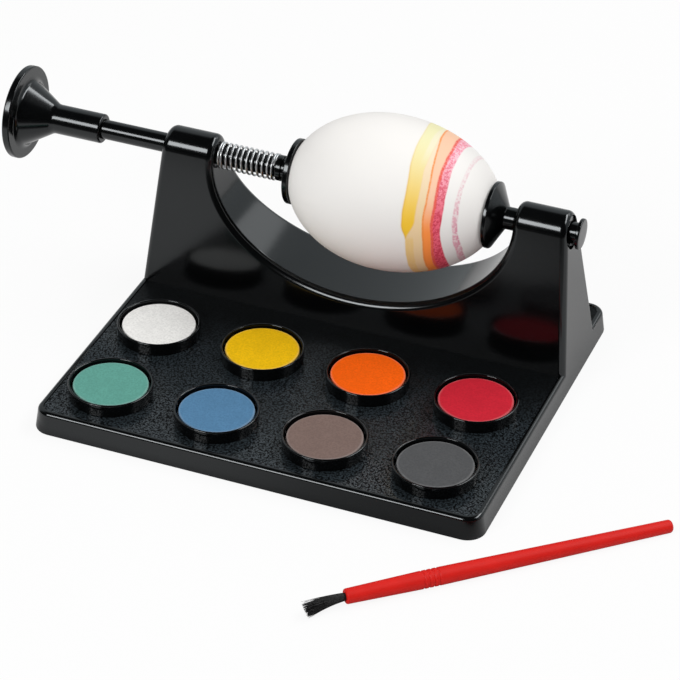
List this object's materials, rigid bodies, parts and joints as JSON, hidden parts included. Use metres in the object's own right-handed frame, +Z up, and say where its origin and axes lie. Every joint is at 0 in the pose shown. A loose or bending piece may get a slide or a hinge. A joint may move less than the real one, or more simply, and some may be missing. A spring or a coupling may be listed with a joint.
{
  "type": "spin art machine",
  "caption": "Egg-painting machine: a knob and a sprung spindle spin an egg held between cups on a yoke, above a palette base with pressed-in watercolour pans, with a brush.",
  "frame": {"origin": "centre of the base's underside, on the table", "axes": "+X along the spindle, away from the turning knob; +Y to the back; +Z up"},
  "size_m": [0.2185, 0.1601, 0.069],
  "materials": {
    "housing_plastic": "polished black moulding with a finely grained palette panel",
    "pan_plastic": "polished black",
    "spindle_plastic": "polished black",
    "spring_steel": "bright spring wire",
    "egg_shell": "eggshell with thin watercolour bands near the pointed end",
    "red_lacquer": "glossy red",
    "bristle": "fine dark hair",
    "paint_white": "dry watercolour cake",
    "paint_yellow": "dry watercolour cake",
    "paint_orange": "dry watercolour cake",
    "paint_red": "dry watercolour cake",
    "paint_green": "dry watercolour cake",
    "paint_blue": "dry watercolour cake",
    "paint_brown": "dry watercolour cake",
    "paint_black": "dry watercolour cake"
  },
  "bodies": {
    "base": {"base_housing": "housing_plastic", "pan_white": "pan_plastic", "pan_yellow": "pan_plastic", "pan_orange": "pan_plastic", "pan_red": "pan_plastic", "pan_green": "pan_plastic", "pan_blue": "pan_plastic", "pan_brown": "pan_plastic", "pan_black": "pan_plastic", "tablet_white": "paint_white", "tablet_yellow": "paint_yellow", "tablet_orange": "paint_orange", "tablet_red": "paint_red", "tablet_green": "paint_green", "tablet_blue": "paint_blue", "tablet_brown": "paint_brown", "tablet_black": "paint_black", "return_spring": "spring_steel"},
    "carriage": {"thrust_washer": "spindle_plastic"},
    "spindle": {"turning_knob": "spindle_plastic", "drive_spindle": "spindle_plastic"},
    "egg": {"egg": "egg_shell"},
    "idler": {"idler_spindle": "spindle_plastic", "end_cap": "spindle_plastic"},
    "brush": {"brush_handle": "red_lacquer", "brush_bristles": "bristle"}
  },
  "joints": [
    {"name": "plunger_slide", "type": "slide", "parent": "base", "child": "carriage", "axis": [1, 0, 0], "range_m": [-0.009, 0], "stiffness_N_per_m": 150, "springref_m": 0.004, "deforming": ["return_spring"]},
    {"name": "knob_spin", "type": "hinge", "parent": "carriage", "child": "spindle", "pos_m": [0, 0.0277, 0.047], "axis": [1, 0, 0], "continuous": true},
    {"name": "egg_spin", "type": "hinge", "parent": "base", "child": "egg", "pos_m": [0, 0.0277, 0.047], "axis": [1, 0, 0], "continuous": true},
    {"name": "idler_spin", "type": "hinge", "parent": "base", "child": "idler", "pos_m": [0, 0.0277, 0.047], "axis": [1, 0, 0], "continuous": true},
    {"name": "brush_lift", "type": "slide", "parent": "base", "child": "brush", "axis": [0, 0, 1], "range_m": [0, 0.08]}
  ],
  "couplings": [
    {"joint": "egg_spin", "follows": "knob_spin", "ratio": 1},
    {"joint": "idler_spin", "follows": "knob_spin", "ratio": 1}
  ]
}
